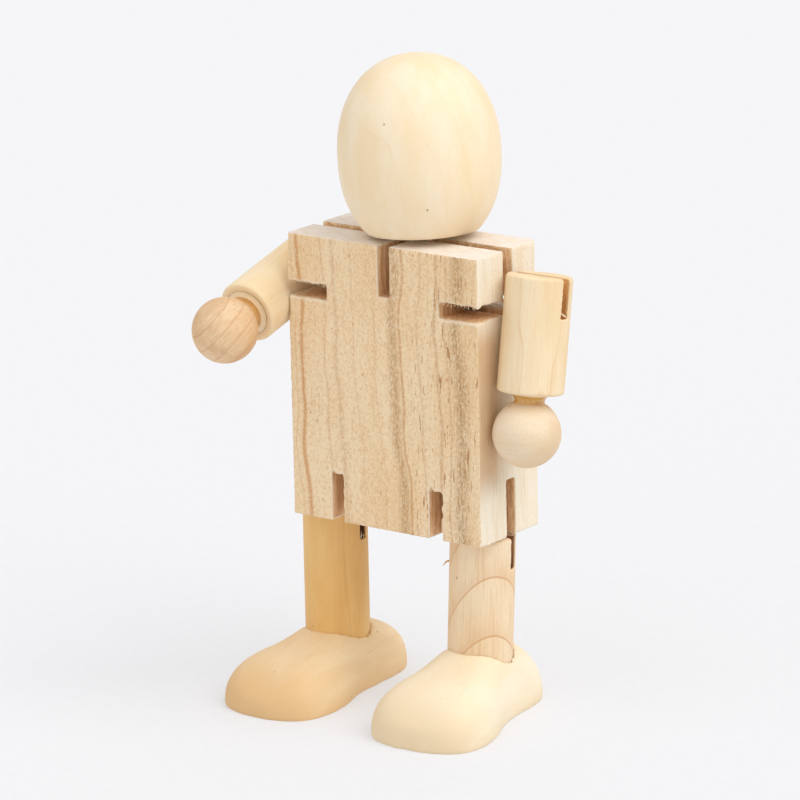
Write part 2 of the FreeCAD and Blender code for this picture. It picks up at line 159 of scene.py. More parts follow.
def bottom_frame(node):
    """An upright frame in the middle of the bottom of a CAD node's box."""
    low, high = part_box(node)
    return Matrix.Translation(((low.x + high.x) / 2, (low.y + high.y) / 2, low.z))


# ---------------------------------------------------------------------------
# Meshes
# ---------------------------------------------------------------------------

def lattice(cells, seed):
    """A steady pseudo-random number from 0 to 1 for each whole-number cell."""
    x, y, z = (cells[:, i].astype(np.int64) for i in range(3))
    mixed = (x * 73856093) ^ (y * 19349663) ^ (z * 83492791) ^ (seed * 1013904223)
    mixed = (mixed ^ (mixed >> 13)) * 1274126177 & 0xFFFFFFFF
    mixed = (mixed ^ (mixed >> 16)) * 2246822519 & 0xFFFFFFFF
    return mixed / 0xFFFFFFFF


def bumps(points, seed):
    """Smooth noise from 0 to 1 at points, with cells of size one."""
    cells = np.floor(points)
    share = points - cells
    share = share * share * (3 - 2 * share)
    total = np.zeros(len(points))
    for corner in np.ndindex(2, 2, 2):
        weight = np.prod(np.where(corner, share, 1 - share), axis=1)
        total += weight * lattice(cells + corner, seed)
    return total


def smooth(value, low, high):
    """0 below low, 1 above high, smooth between them. It also works with high under low."""
    share = np.clip((value - low) / (high - low), 0, 1)
    return share * share * (3 - 2 * share)


def new_piece(name, mesh, place):
    """An object for a mesh that is already in the frame called place."""
    piece = bpy.data.objects.new(name, mesh)
    bpy.context.scene.collection.objects.link(piece)
    piece.matrix_world = place
    mesh.polygons.foreach_set("use_smooth", [True] * len(mesh.polygons))
    return piece


def carved(node, name, place, voxel):
    """A copy of a CAD node in small even faces, ready to be worked on, in the frame called place."""
    rough = frame["nodes"][node].data.copy()
    welded = bmesh.new()
    welded.from_mesh(rough)
    bmesh.ops.remove_doubles(welded, verts=welded.verts, dist=1e-7)
    welded.to_mesh(rough)
    welded.free()
    holder = bpy.data.objects.new(name + "_rough", rough)
    bpy.context.scene.collection.objects.link(holder)
    remesh = holder.modifiers.new("remesh", "REMESH")
    remesh.mode = "VOXEL"
    remesh.voxel_size = voxel * MM
    worked = holder.evaluated_get(bpy.context.evaluated_depsgraph_get())
    fine = bpy.data.meshes.new_from_object(worked)
    bpy.data.objects.remove(holder)
    bpy.data.meshes.remove(rough)
    fine.materials.clear()
    fine.transform(place.inverted())
    return new_piece(name, fine, place)


def points_of(mesh):
    """The mesh's points in millimetres."""
    flat = np.empty(len(mesh.vertices) * 3, np.float32)
    mesh.vertices.foreach_get("co", flat)
    return flat.reshape(-1, 3).astype(float) / MM


def normals_of(mesh):
    """The direction that each point of the mesh faces."""
    flat = np.empty(len(mesh.vertices) * 3, np.float32)
    mesh.vertex_normals.foreach_get("vector", flat)
    return flat.reshape(-1, 3).astype(float)


def along_normals(mesh, amounts):
    """Moves of these lengths along the direction that each point of the mesh faces."""
    return normals_of(mesh) * amounts[:, None]


def carried(points, place, other):
    """Points in millimetres in one frame, seen from another."""
    change = np.array(other.inverted() @ place)
    return points @ change[:3, :3].T + change[:3, 3] / MM


def set_points(mesh, points):
    """Move the mesh's points to these places in millimetres."""
    mesh.vertices.foreach_set("co", (points * MM).astype(np.float32).ravel())
    mesh.update()


def paint(mesh, name, values):
    """Store one number for each point, for the materials."""
    layer = mesh.attributes.new(name, "FLOAT", "POINT")
    layer.data.foreach_set("value", values.astype(np.float32))


def relaxed(mesh, steps):
    """The mesh's points with small bumps smoothed out."""
    points = points_of(mesh)
    edges = np.empty(len(mesh.edges) * 2, np.int32)
    mesh.edges.foreach_get("vertices", edges)
    a, b = edges.reshape(-1, 2).T
    count = np.bincount(a, minlength=len(points)) + np.bincount(b, minlength=len(points))
    for _ in range(steps):
        for axis in range(3):
            value = points[:, axis]
            near = np.bincount(a, value[b], len(points)) + np.bincount(b, value[a], len(points))
            points[:, axis] = (value + near / count) / 2
    return points


# ---------------------------------------------------------------------------
# Shapes
# ---------------------------------------------------------------------------

def outside_depth(points):
    """How far each point of the torso is inside the block's six outer faces."""
    x, y, z = points.T
    return np.min([TORSO.x / 2 - abs(x), TORSO.y / 2 - abs(y), z, TORSO.z - z], axis=0)


def torn(points, amount, seed):
    """A jagged height along an edge across the grain, from 0 to amount."""
    coarse = bumps(points * (0.55, 0.55, 0), seed)
    fine = bumps(points * (1.9, 1.9, 0), seed + 1)
    return amount * np.clip(coarse * 1.5 - 0.35, 0, 1) * (0.35 + 0.65 * fine)


def tear_shoulder_kerfs(points):
    """Break the wood out of the mouths of the two side kerfs. Returns how torn each point is."""
    x, _, z = points.T
    depth = outside_depth(points)
    mark = np.zeros(len(points))
    for sign, up, amount in SHOULDER_TEARS:
        beside = smooth(sign * x, SHOULDER_KERF_INNER_X - 0.4, SHOULDER_KERF_INNER_X + 0.4)
        away = (z - (SHOULDER_KERF_Z + up * KERF_HALF)) * up
        reach = smooth(away, 2.6, 0.0) * (away > -0.6) * smooth(depth, 1.7, 0.3) * beside
        height = torn(points, amount, seed=5 + sign + 3 * up)
        points[:, 2] += up * height * reach
        mark = np.maximum(mark, reach * smooth(away, 1.3, 0.1))
    return mark


def tear_hip_kerfs(points):
    """Break the wood at the tops and sides of the kerfs under the block. Returns how torn each point is."""
    x, y, z = points.T
    front = smooth(y, -TORSO.y / 2 + 1.8, -TORSO.y / 2 + 0.4)
    mark = np.zeros(len(points))
    for sign, lift, notch_x in HIP_TEARS:
        across = x - sign * HIP_KERF_X
        above = z - HIP_KERF_TOP
        inside = smooth(abs(across), KERF_HALF + 0.8, KERF_HALF - 0.2)
        notch = np.clip(1 - abs(across - notch_x) / 1.0, 0, 1)
        reach = smooth(above, 3.2, 0.0) * (above > -0.6) * front * inside
        points[:, 2] += reach * (lift * notch + torn(points, 0.5, seed=31 + sign))
        away = across - KERF_HALF
        ragged = bumps(points[:, 2:] * (0.5, 0, 0), seed=41 + sign)
        beside = smooth(away, 1.6, 0.0) * (away > -0.5) * (above < 0.5) * front
        points[:, 0] += beside * (0.25 + 0.45 * sign) * np.clip(ragged * 1.6 - 0.5, 0, 1)
        mark = np.maximum(mark, reach * smooth(above, 1.6, 0.2))
        mark = np.maximum(mark, beside * 0.8 * (sign > 0))
    return mark


def wear_edges(points):
    """Small dents along the block's outer edges, longer along the grain."""
    x, y, z = points.T
    dent = np.clip(bumps(points * (0.6, 0.6, 0.22), seed=51) * 2.2 - 1.25, 0, 1)
    outer = np.sort([TORSO.x / 2 - abs(x), TORSO.y / 2 - abs(y), np.minimum(z, TORSO.z - z)], axis=0)
    corner = smooth(outer[1], 0.9, 0.1)
    points[:, 0] -= np.sign(x) * corner * dent * 0.35 * (TORSO.x / 2 - abs(x) < 1)
    points[:, 1] -= np.sign(y) * corner * dent * 0.35 * (TORSO.y / 2 - abs(y) < 1)


def make_torso():
    """The sawn block: rough faces, torn kerf mouths, dented edges."""
    piece = carved("torso_block", "torso_body", bottom_frame("torso_block"), VOXEL["torso"])
    mesh = piece.data
    points = points_of(mesh)
    mark = np.maximum(tear_shoulder_kerfs(points), tear_hip_kerfs(points))
    wear_edges(points)
    rough = bumps(points * (1.3, 1.3, 0.7), seed=61) - 0.5
    rough += 0.6 * (bumps(points * (0.7, 0.7, 0.1), seed=62) - 0.5)
    in_kerf = smooth(outside_depth(points), 0.35, 0.8)
    on_front = abs(normals_of(mesh)[:, 1])
    points += along_normals(mesh, rough * (0.06 + 0.12 * on_front + 0.14 * in_kerf))
    set_points(mesh, points)
    paint(mesh, "kerf", in_kerf)
    paint(mesh, "depth", np.clip(outside_depth(points) / 15, 0, 1))
    paint(mesh, "torn", mark)
    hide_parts("torso_block")
    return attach(piece, "torso")


def make_head():
    """The turned egg, a little uneven from sanding."""
    piece = carved("head", "head_egg", head_frame(), VOXEL["head"])
    mesh = piece.data
    points = relaxed(mesh, 3)
    points += along_normals(mesh, UNEVEN["head"] * (bumps(points * 0.09, seed=71) - 0.5))
    points[:, 2] = np.maximum(points[:, 2], BASE_HEIGHT)
    set_points(mesh, points)
    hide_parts("head")
    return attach(piece, "head")


def make_limb(side, kind, place):
    """An arm's or leg's dowel with fuzzy kerf edges."""
    node = side + "_" + kind
    piece = carved(node, node + "_dowel", place, VOXEL["limb"])
    mesh = piece.data
    points = relaxed(mesh, 1)
    x, y, z = points.T
    radius = np.hypot(x, y)
    limb_radius = radius.max()
    skin = smooth(radius, limb_radius - 0.9, limb_radius - 0.2)
    beside = smooth(abs(y), LIMB_KERF_HALF + 0.9, LIMB_KERF_HALF) * (z > -KERF_FLOOR[kind] - 1.5)
    nibble = np.clip(bumps(points * (0.5, 0.5, 0.8), seed=81) * 2 - 0.9, 0, 1)
    points[:, 1] += np.sign(y) * skin * beside * nibble * 0.15
    flats = bumps(points * (0.16, 0.16, 0.05), seed=82) - 0.5
    points += along_normals(mesh, flats * UNEVEN["limb"])
    in_kerf = smooth(abs(y), LIMB_KERF_HALF + 0.5, LIMB_KERF_HALF - 0.1)
    in_kerf *= smooth(radius, limb_radius - 0.15, limb_radius - 0.7)
    in_kerf *= (z > -KERF_FLOOR[kind] - 4) * (z < -0.4)
    set_points(mesh, points)
    paint(mesh, "kerf", in_kerf)
    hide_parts(node)
    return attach(piece, node)


def make_ball(side, place):
    """The hand's turned ball, a touch out of round."""
    node = side + "_hand_ball"
    piece = carved(node, side + "_hand_round", place, VOXEL["ball"])
    mesh = piece.data
    points = relaxed(mesh, 2)
    slow = bumps(points * 0.16, SEEDS[side + "_ball"]) - 0.5
    points += along_normals(mesh, UNEVEN["ball"] * slow)
    set_points(mesh, points)
    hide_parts(node)
    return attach(piece, side + "_arm")


def lathe(name, profile, place, steps=72):
    """A closed turned shape from (radius, height) points in millimetres, first and last on the axis."""
    shape = bmesh.new()
    turn = [2 * math.pi * i / steps for i in range(steps)]
    rings = []
    for radius, height in profile:
        if radius == 0:
            rings.append([shape.verts.new((0, 0, height * MM))])
            continue
        circle = [(radius * MM * math.cos(a), radius * MM * math.sin(a), height * MM) for a in turn]
        rings.append([shape.verts.new(point) for point in circle])
    for low, high in zip(rings, rings[1:]):
        for i in range(steps):
            j = (i + 1) % steps
            corners = [low[i % len(low)], low[j % len(low)], high[j % len(high)], high[i % len(high)]]
            shape.faces.new(list(dict.fromkeys(corners)))
    bmesh.ops.recalc_face_normals(shape, faces=shape.faces)
    mesh = bpy.data.meshes.new(name)
    shape.to_mesh(mesh)
    shape.free()
    return new_piece(name, mesh, place)


def make_peg(side, place):
    """The peg between arm and hand: a waisted neck that spreads into the arm's countersink, under glue."""
    ball_z = (place.inverted() @ hand_centre(side)).z / MM
    meets_z = ball_z + math.sqrt(BALL_RADIUS ** 2 - PEG_END_RADIUS ** 2)
    top_z = 0.1 - ARM_LENGTH
    upper_end = top_z + 8.0
    lower_end = ball_z + 3.0
    tenon = PEG_TENON_RADIUS
    neck = [(0, upper_end), (tenon, upper_end), (tenon, top_z + 0.6), (7.9, top_z)]
    waist = ((-0.04, 7.2), (-0.02, 6.6), (0.16, 6.0), (0.3, 5.3), (0.5, 4.75), (0.75, 4.5))
    for share, radius in (*waist, (1.0, PEG_END_RADIUS)):
        neck.append((radius, top_z + share * (meets_z - top_z)))
    neck += [(4.4, meets_z - 1.0), (tenon, meets_z - 1.2), (tenon, lower_end), (0, lower_end)]
    piece = lathe(side + "_hand_neck", neck, place)
    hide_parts(side + "_hand_peg")
    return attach(piece, side + "_arm")


def make_cords():
    """The elastic on every body that holds some of it, with the ribs of its braid pressed into its skin."""
    cord = elastic()
    for body, nodes in frame["record"]["behaviour"]["bodies"].items():
        for node in nodes:
            if "elastic" not in node:
                continue
            piece = carved(node, node + "_braid", Matrix.Identity(4), VOXEL["cord"])
            mesh = piece.data
            points = points_of(mesh)
            x, y, z = points.T
            ribs = np.sin((x + y + z) * RIB_TURNS) * np.sin((x + y - z) * RIB_TURNS)
            set_points(mesh, points + along_normals(mesh, (ribs - 1.2) * RIB_HEIGHT))
            dress(piece, cord)
            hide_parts(node)
            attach(piece, body)


def make_foot(side):
    """The carved foot, sanded smooth, with its sole kept flat and its socket crisp round the leg."""
    node = side + "_foot"
    place = bottom_frame(node)
    piece = carved(node, node + "_shoe", place, VOXEL["foot"])
    mesh = piece.data
    raw = points_of(mesh)
    eased = relaxed(mesh, 14)
    from_leg = carried(raw, place, leg_frame(side))
    beside_leg = np.hypot(from_leg[:, 0], from_leg[:, 1])
    crisp = smooth(beside_leg, 12.5, 11.3)
    in_socket = (beside_leg > 9.0) & (beside_leg < 10.7)
    from_leg[in_socket, :2] *= (SOCKET_FIT / beside_leg[in_socket])[:, None]
    tight = carried(from_leg, leg_frame(side), place)
    points = tight * crisp[:, None] + eased * (1 - crisp)[:, None]
    sole = raw[:, 2] < 0.3
    points[sole, 2] = raw[sole, 2]
    points[:, 2] = np.maximum(points[:, 2], BASE_HEIGHT)
    points[:, :2] *= 1.004
    slow = (bumps(points * 0.08, SEEDS[side + "_foot"]) - 0.5) * (points[:, 2] > 0.6)
    points += along_normals(mesh, UNEVEN["foot"] * slow)
    set_points(mesh, points)
    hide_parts(node)
    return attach(piece, side + "_leg")


def add_sliver(shape, path, width, thickness):
    """Add a tapered wood fibre along a path of points in millimetres."""
    path = [Vector(point) for point in path]
    rings = []
    for i, point in enumerate(path):
        along = (path[min(i + 1, len(path) - 1)] - path[max(i - 1, 0)]).normalized()
        side = along.cross(Vector((0.9, 0.4, 0.2))).normalized()
        face = along.cross(side)
        taper = math.sin(math.pi * (0.2 + 0.75 * i / (len(path) - 1))) ** 0.7
        corners = (side * width, face * thickness, -side * width, -face * thickness)
        rings.append([shape.verts.new((point + corner * taper / 2) * MM) for corner in corners])
    for low, high in zip(rings, rings[1:]):
        for i in range(4):
            shape.faces.new((low[i], low[(i + 1) % 4], high[(i + 1) % 4], high[i]))
    shape.faces.new(rings[0][::-1])
    shape.faces.new(rings[-1])


def make_slivers(name, slivers, place, body):
    """One piece of several wood fibres, each a path with its width and thickness."""
    shape = bmesh.new()
    for path, width, thickness in slivers:
        add_sliver(shape, path, width, thickness)
    bmesh.ops.recalc_face_normals(shape, faces=shape.faces)
    mesh = bpy.data.meshes.new(name)
    shape.to_mesh(mesh)
    shape.free()
    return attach(new_piece(name, mesh, place), body)


def torso_slivers():
    """Fibres left hanging at the front of the two side kerfs."""
    chance = random.Random(7)
    front = -TORSO.y / 2
    slivers = []
    for sign, count, longest in ((1, 14, 0.7), (-1, 12, 0.4)):
        for i in range(count):
            x = sign * (SHOULDER_KERF_INNER_X + 0.6 + (i + chance.random()) * 13.2 / count)
            z = SHOULDER_KERF_Z + KERF_HALF + 0.35
            drop = longest * chance.random() ** 2 + 0.5
            lean = chance.uniform(-0.3, 0.3)
            middle = (x + lean / 2, front + 0.02, z - drop * 0.6)
            path = [(x, front + 0.1, z), middle, (x + lean, front + 0.12, z - drop)]
            slivers.append((path, chance.uniform(0.5, 1.1), 0.2))
    return slivers


# fibres on the limbs, in the limbs' frames: each is a path with its width and its thickness
ARM_SLIVERS = [([(9.3, -1.9, -10.0), (9.75, -0.4, -10.8), (9.7, 0.5, -11.2), (9.2, 1.9, -11.9)], 0.8, 0.5)]
BURR = [([(-9.3, 0.9, -9.9), (-10.4, 0.4, -10.4), (-11.5, -0.3, -10.7), (-12.3, -1.0, -11.9)], 1.2, 0.6)]
LEG_SLIVERS = [
    ([(9.3, -1.0, -10.2), (9.55, -0.8, -9.0), (9.5, -0.6, -7.4)], 0.9, 0.4),
    ([(9.3, 0.7, -10.2), (9.6, 0.6, -9.4), (9.5, 0.3, -8.5)], 0.8, 0.4),
]


# ---------------------------------------------------------------------------
# Materials
# ---------------------------------------------------------------------------

def colour(red, green, blue):
    """A screen colour from 0 to 255 as the shaders' linear colour."""
    parts = [c / 255 for c in (red, green, blue)]
    linear = [c / 12.92 if c <= 0.04045 else ((c + 0.055) / 1.055) ** 2.4 for c in parts]
    return (*linear, 1.0)


class Finish:
    """The nodes of one material. Lengths in it are millimetres in the piece's own frame."""

    def __init__(self, name, roughness, **sockets):
        self.material = bpy.data.materials.new(name)
        self.material.use_nodes = True
        self.tree = self.material.node_tree
        self.shader = self.tree.nodes["Principled BSDF"]
        self.shader.inputs["Roughness"].default_value = roughness
        for socket, value in sockets.items():
            self.shader.inputs[socket.replace("_", " ")].default_value = value
        coords = self.add("ShaderNodeTexCoord")
        self.facing = coords.outputs["Normal"]
        self.where = self.placed(coords.outputs["Object"], (1 / MM, 1 / MM, 1 / MM))

    def add(self, kind, inputs=(), **settings):
        """A node with its settings, and its inputs linked or set."""
        node = self.tree.nodes.new(kind)
        for name, value in settings.items():
            setattr(node, name, value)
        for key, value in dict(inputs).items():
            if isinstance(value, bpy.types.NodeSocket):
                self.tree.links.new(value, node.inputs[key])
            else:
                node.inputs[key].default_value = value
        return node

    def placed(self, point, scale=(1, 1, 1), shift=(0, 0, 0), turn=(0, 0, 0)):
        """A point scaled, turned in degrees and shifted."""
        turned = [math.radians(a) for a in turn]
        inputs = {"Vector": point, "Location": shift, "Rotation": turned, "Scale": scale}
        return self.add("ShaderNodeMapping", inputs).outputs["Vector"]

    def noise(self, scale, shift=(0, 0, 0), detail=2.0, point=None):
        """Noise from 0 to 1, with its scale given along each axis per millimetre."""
        place = self.placed(point or self.where, scale, shift)
        inputs = {"Vector": place, "Scale": 1.0, "Detail": detail}
        return self.add("ShaderNodeTexNoise", inputs).outputs["Fac"]

    def math(self, operation, first, second=0.0):
        """One operation on one or two numbers."""
        return self.add("ShaderNodeMath", {0: first, 1: second}, operation=operation).outputs[0]

    def part(self, axis, point=None):
        """One coordinate of a point."""
        return self.add("ShaderNodeSeparateXYZ", {"Vector": point or self.where}).outputs[axis]

    def between(self, value, low, high):
        """0 at low, 1 at high, smooth between."""
        inputs = {"Value": value, "From Min": low, "From Max": high}
        return self.add("ShaderNodeMapRange", inputs, interpolation_type="SMOOTHSTEP").outputs["Result"]

    def near(self, value, centre, reach):
        """1 at the centre, 0 at reach away on either side."""
        away = self.math("ABSOLUTE", self.math("SUBTRACT", value, centre))
        return self.between(away, reach, 0.0)

    def mix(self, share, first, second):
        """Two colours mixed: the first at a share of 0, the second at 1."""
        inputs = {"Factor": share, 6: first, 7: second}
        return self.add("ShaderNodeMix", inputs, data_type="RGBA").outputs[2]

    def times(self, *values):
        """The product of several numbers."""
        total = values[0]
        for value in values[1:]:
            total = self.math("MULTIPLY", total, value)
        return total

    def painted(self, name):
        """The number stored for each point of the mesh."""
        return self.add("ShaderNodeAttribute", attribute_name=name).outputs["Fac"]

    def done(self, base, bump, depth=0.05, strength=1.0):
        """Link the colour and the bump, whose depth is in millimetres."""
        self.tree.links.new(base, self.shader.inputs["Base Color"])
        inputs = {"Height": bump, "Distance": depth * MM, "Strength": strength}
        relief = self.add("ShaderNodeBump", inputs)
        self.tree.links.new(relief.outputs["Normal"], self.shader.inputs["Normal"])
        return self.material


def ring_line(finish, across, spacing, line, soft):
    """1 on the thin dark late-wood line of each growth ring, fading slowly on its early side."""
    share = finish.math("FRACT", finish.math("DIVIDE", across, spacing))
    rise = finish.between(share, 1.0 - line * 2, 1.0 - line)
    haze = finish.times(finish.between(share, 1.0 - soft, 1.0), 0.35)
    fall = finish.between(share, 1.0, 1.0 - line * 0.5)
    return finish.times(finish.math("MAXIMUM", rise, haze), fall)


def darker(shade, share):
    """A colour with this share of its light left."""
    return (*[c * share for c in shade[:3]], 1.0)


def smooth_wood(name, seed, pale, warm, line, rings, strength, line_width=0.04, turn=(0, 0, 0), kerf=None,
                toe_shade=None, torso_end_shade=None, streaks=0.0):
    """Sanded wood with its grain along Z: soft warm patches, fine fibres, growth rings and a few specks.
    rings is (spacing, slope along the grain, angle across it, waviness, offset). kerf is the colour of a saw
    cut. The toe colour is painted shade on a foot's forward ends and bottom edge, and the colour for the
    arm's end is painted shade on it next to the torso."""
    finish = Finish(name, 0.55, Specular_IOR_Level=0.35)
    height = finish.part("Z")
    if any(turn):
        finish.where = finish.placed(finish.where, turn=turn)
    spacing, slope, angle, wavy, offset = rings
    shift = (seed * 3.7, seed * 5.1, seed * 2.3)
    patches = finish.noise((0.11, 0.11, 0.03), shift, detail=3.0)
    fibres = finish.noise((1.6, 1.6, 0.07), shift, detail=3.0)
    fine = finish.noise((4.5, 4.5, 0.5), shift, detail=2.0)
    wave = finish.noise((0.12, 0.12, 0.03), shift, detail=1.0)
    x, y, z = (finish.part(axis) for axis in "XYZ")
    across = finish.math("ADD", finish.times(x, math.cos(angle)), finish.times(y, math.sin(angle)))
    across = finish.math("ADD", across, finish.times(z, slope))
    across = finish.math("ADD", across, finish.math("ADD", finish.times(wave, wavy * 20), offset))
    ring = ring_line(finish, across, spacing, line_width, 0.4)
    base = finish.mix(finish.between(patches, 0.3, 0.72), pale, warm)
    base = finish.mix(finish.times(ring, strength), base, line)
    base = finish.mix(finish.times(finish.between(fibres, 0.48, 0.78), 0.12 + strength * 0.4), base, line)
    base = finish.mix(finish.times(finish.between(fine, 0.35, 0.75), 0.1 + strength * 0.1), base, line)
    if streaks:
        long_fibres = finish.noise((1.1, 1.1, 0.09), shift, detail=5.0)
        base = finish.mix(finish.times(finish.between(long_fibres, 0.42, 0.7), streaks), base, line)
        shaded = finish.between(finish.noise((0.1, 0.1, 0.1), shift, detail=2.0), 0.5, 0.7)
        base = finish.mix(finish.times(shaded, streaks), base, darker(line, 0.85))
    spread = finish.placed(finish.where, (0.13, 0.13, 0.11), shift)
    cells = {"Vector": spread, "Scale": 1.0, "Randomness": 1.0}
    speck = finish.add("ShaderNodeTexVoronoi", cells).outputs["Distance"]
    base = finish.mix(finish.times(finish.between(speck, 0.055, 0.03), 0.65), base, colour(150, 98, 52))
    # painted shade on the arm's end next to the torso, in patches, darker towards the torso
    if torso_end_shade:
        end = finish.times(finish.between(height, -26.0, -6.0), finish.between(patches, 0.2, 0.6))
        base = finish.mix(finish.times(end, 0.6), base, torso_end_shade)
    # painted shade on a foot's forward-facing ends and along its bottom edge by the floor
    if toe_shade:
        ahead = finish.between(finish.part("Y", finish.facing), 0.35, -0.85)
        ends = finish.times(ahead, finish.between(height, 26.0, 6.0))
        edge = finish.times(finish.between(height, 7.0, 0.5), 0.6)
        base = finish.mix(finish.times(finish.math("MAXIMUM", ends, edge), 0.85), base, toe_shade)
    if kerf:
        shadows = finish.noise((0.7, 0.7, 0.12), shift, detail=3.0)
        wall = finish.mix(finish.between(shadows, 0.35, 0.7), kerf, darker(kerf, 0.5))
        base = finish.mix(finish.painted("kerf"), base, wall)
    bump = finish.math("ADD", finish.times(fibres, 0.7), finish.times(fine, 0.45))
    return finish.done(base, bump, 0.05, 0.55)


def sawn_pine():
    """Rough-sawn pine: grain bands and resin on the front and back, pale sides and ends, brown kerfs; painted
    shade beside the arms and deep in the kerfs.
    """
    finish = Finish("sawn_pine", 0.75, Specular_IOR_Level=0.25)
    x, y, z = (finish.part(axis) for axis in "XYZ")
    facing_side = finish.math("ABSOLUTE", finish.part("X", finish.facing))
    facing_end = finish.math("ABSOLUTE", finish.part("Z", finish.facing))
    fur = finish.noise((1.9, 1.9, 1.3), detail=4.0)
    fibres = finish.noise((1.3, 1.3, 0.07), detail=4.0)
    patches = finish.noise((0.09, 0.09, 0.02), (3, 1, 7), detail=3.0)
    speckle = finish.noise((3.2, 3.2, 0.9), (5, 2, 9), detail=3.0)
    drift = finish.noise((0.03, 0.03, 0.035), (1, 8, 4), detail=1.0)
    grain = finish.math("ADD", x, finish.times(z, 0.035))
    grain = finish.math("ADD", grain, finish.times(drift, 7.0))
    front = finish.mix(finish.between(patches, 0.35, 0.68), colour(246, 221, 182), colour(240, 208, 162))
    front = finish.mix(finish.times(finish.between(fibres, 0.5, 0.78), 0.35), front, colour(216, 174, 126))
    # each band is (place across the face, reach, strength, how broken up it is, colour)
    bands = (
        (-25.6, 1.2, 0.8, 0.1, colour(206, 142, 80)),
        (-28.2, 0.6, 0.35, 0.2, colour(220, 170, 116)),
        (-16.5, 0.8, 0.45, 0.6, colour(206, 156, 106)),
        (-12.0, 1.6, 0.5, 0.8, colour(202, 158, 112)),
        (-5.0, 0.7, 0.3, 0.5, colour(212, 164, 116)),
        (3.2, 0.6, 0.25, 0.4, colour(208, 156, 106)),
        (10.0, 3.4, 0.85, 0.8, colour(188, 148, 104)),
        (12.9, 0.8, 0.7, 0.3, colour(196, 138, 84)),
        (19.5, 0.8, 0.35, 0.5, colour(198, 148, 100)),
        (25.6, 1.0, 0.6, 0.6, colour(190, 140, 94)),
        (29.2, 0.8, 0.5, 0.7, colour(186, 142, 100)),
        (33.2, 4.2, 0.85, 0.85, colour(176, 140, 98)),
    )
    for centre, reach, amount, speckled, shade in bands:
        band = finish.near(grain, centre, reach)
        solid = finish.math("ADD", finish.times(finish.between(speckle, 0.66, 0.4), speckled), 1.0 - speckled)
        front = finish.mix(finish.times(band, amount, solid), front, shade)
    streak = finish.noise((1.5, 1.5, 0.13), (7, 3, 2), detail=1.0)
    streak = finish.times(finish.between(streak, 0.66, 0.72), finish.between(x, 2.0, 14.0))
    front = finish.mix(finish.times(streak, 0.85), front, colour(168, 108, 60))
    front = finish.mix(finish.times(finish.between(fur, 0.48, 0.66), 0.42), front, colour(216, 168, 114))
    front = finish.mix(finish.times(finish.between(fur, 0.46, 0.34), 0.5), front, colour(246, 226, 194))
    cells = {"Vector": finish.placed(finish.where, (0.3, 0.3, 0.16)), "Scale": 1.0}
    dots = finish.add("ShaderNodeTexVoronoi", cells).outputs["Distance"]
    front = finish.mix(finish.times(finish.between(dots, 0.11, 0.05), 0.6), front, colour(186, 118, 66))
    side = finish.mix(finish.between(fibres, 0.42, 0.78), colour(246, 234, 212), colour(236, 216, 184))
    side = finish.mix(finish.times(finish.between(patches, 0.5, 0.75), 0.5), side, colour(238, 218, 186))
    # painted shade, with a warm tint of light thrown back from the arm, on the front half of each side face
    # between the hip and shoulder kerfs
    painted_arm_shade = finish.times(finish.between(z, 12.0, 24.0), finish.between(z, 70.0, 60.0))
    painted_arm_shade = finish.times(painted_arm_shade, finish.between(y, -2.0, -9.0))
    side = finish.mix(finish.times(painted_arm_shade, 0.75), side, colour(212, 172, 124))
    pits = finish.between(finish.noise((0.8, 0.8, 0.35), (2, 2, 5), detail=1.0), 0.74, 0.8)
    side = finish.mix(finish.times(pits, 0.5), side, colour(150, 120, 90))
    slanted = finish.placed(finish.where, (0.35, 3.5, 1), turn=(0, 0, 35))
    saw_marks = finish.noise((0.5, 0.5, 0.5), detail=3.0, point=slanted)
    end = finish.mix(finish.between(saw_marks, 0.4, 0.65), colour(250, 240, 228), colour(238, 222, 204))
    end = finish.mix(finish.times(finish.between(speckle, 0.55, 0.75), 0.35), end, colour(204, 178, 150))
    outer = finish.mix(finish.between(facing_side, 0.5, 0.85), front, side)
    outer = finish.mix(finish.between(facing_end, 0.5, 0.85), outer, end)
    depth = finish.painted("depth")
    wall_streaks = finish.noise((0.9, 0.9, 0.1), (4, 4, 4), detail=4.0)
    wall = finish.mix(finish.between(wall_streaks, 0.3, 0.7), colour(252, 216, 172), colour(218, 172, 124))
    # painted shade: the kerf walls darken the deeper they reach into the block
    wall = finish.mix(finish.times(finish.between(depth, 0.3, 1.0), 0.75), wall, colour(140, 98, 60))
    flecks = finish.between(finish.noise((1.1, 1.1, 0.9), (9, 1, 1), detail=2.0), 0.6, 0.7)
    wall = finish.mix(finish.times(flecks, 0.5), wall, colour(214, 160, 92))
    base = finish.mix(finish.painted("kerf"), outer, wall)
    base = finish.mix(finish.times(finish.painted("torn"), 0.8), base, colour(244, 226, 196))
    bump = finish.math("ADD", finish.times(fur, 0.9), finish.times(fibres, 0.6))
    bump = finish.math("ADD", bump, finish.times(speckle, 0.4))
    return finish.done(base, bump, 0.3, 1.0)


def glued_peg():
    """The peg's golden wood under dried glue."""
    finish = Finish("peg_wood", 0.28, Specular_IOR_Level=0.5, Coat_Weight=0.6, Coat_Roughness=0.12)
    runs = finish.noise((0.35, 0.35, 0.5), detail=2.0)
    fibres = finish.noise((1.6, 1.6, 0.1), detail=3.0)
    base = finish.mix(finish.between(runs, 0.35, 0.65), colour(226, 176, 96), colour(208, 152, 72))
    base = finish.mix(finish.times(finish.between(fibres, 0.45, 0.7), 0.3), base, colour(184, 126, 62))
    x, y = (finish.part(axis) for axis in "XY")
    radius = finish.math("SQRT", finish.math("ADD", finish.times(x, x), finish.times(y, y)))
    base = finish.mix(finish.between(radius, 5.3, 6.0), base, colour(248, 226, 186))
    base = finish.mix(finish.times(finish.near(radius, 7.6, 0.45), 0.75), base, colour(196, 148, 84))
    return finish.done(base, runs, 0.25, 0.7)


